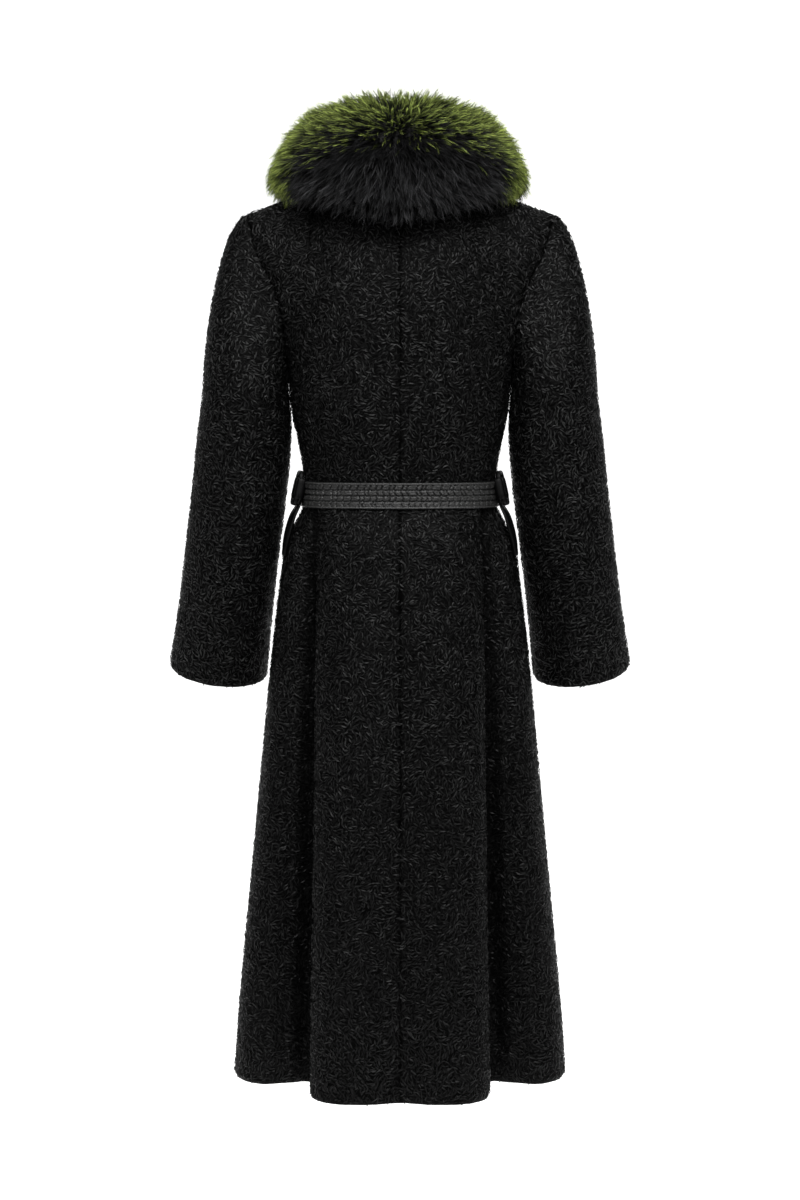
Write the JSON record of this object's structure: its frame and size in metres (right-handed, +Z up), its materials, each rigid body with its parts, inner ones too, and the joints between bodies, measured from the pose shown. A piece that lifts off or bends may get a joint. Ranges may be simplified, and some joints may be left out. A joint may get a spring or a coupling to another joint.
{
  "type": "fur coat",
  "caption": "Long fitted coat of curled fur with a fluted skirt, a long-haired fur collar and a leather belt through side rings; worn over other clothes.",
  "frame": {"origin": "where the wearer's shoulders hold the coat: on its centre line, level with the neck points of the shoulder seams", "axes": "+Z up, -Y the way the coat's front faces, +X the wearer's left"},
  "size_m": [0.6148, 0.3243, 1.2756],
  "materials": {
    "curled_fur": "short curled black pile with a faint sheen",
    "long_fur": "long soft hair, black at the root and moss green at the tips, black on the lower back",
    "embossed_leather": "black leather embossed with square scales, semi-gloss",
    "plain_leather": "smooth black leather, satin",
    "rivet_metal": "small polished dome"
  },
  "bodies": {
    "root": {"back_left": "curled_fur", "back_right": "curled_fur", "side_back_left": "curled_fur", "side_back_right": "curled_fur", "side_front_left": "curled_fur", "side_front_right": "curled_fur", "front_left": "curled_fur", "front_right": "curled_fur", "sleeve_left": "curled_fur", "sleeve_right": "curled_fur", "collar": "long_fur", "belt_back": "embossed_leather", "belt_front": "plain_leather", "ring_left": "plain_leather", "ring_right": "plain_leather", "rivet_left": "rivet_metal", "rivet_right": "rivet_metal", "belt_tail_left": "plain_leather", "belt_tail_right": "plain_leather"}
  },
  "joints": []
}
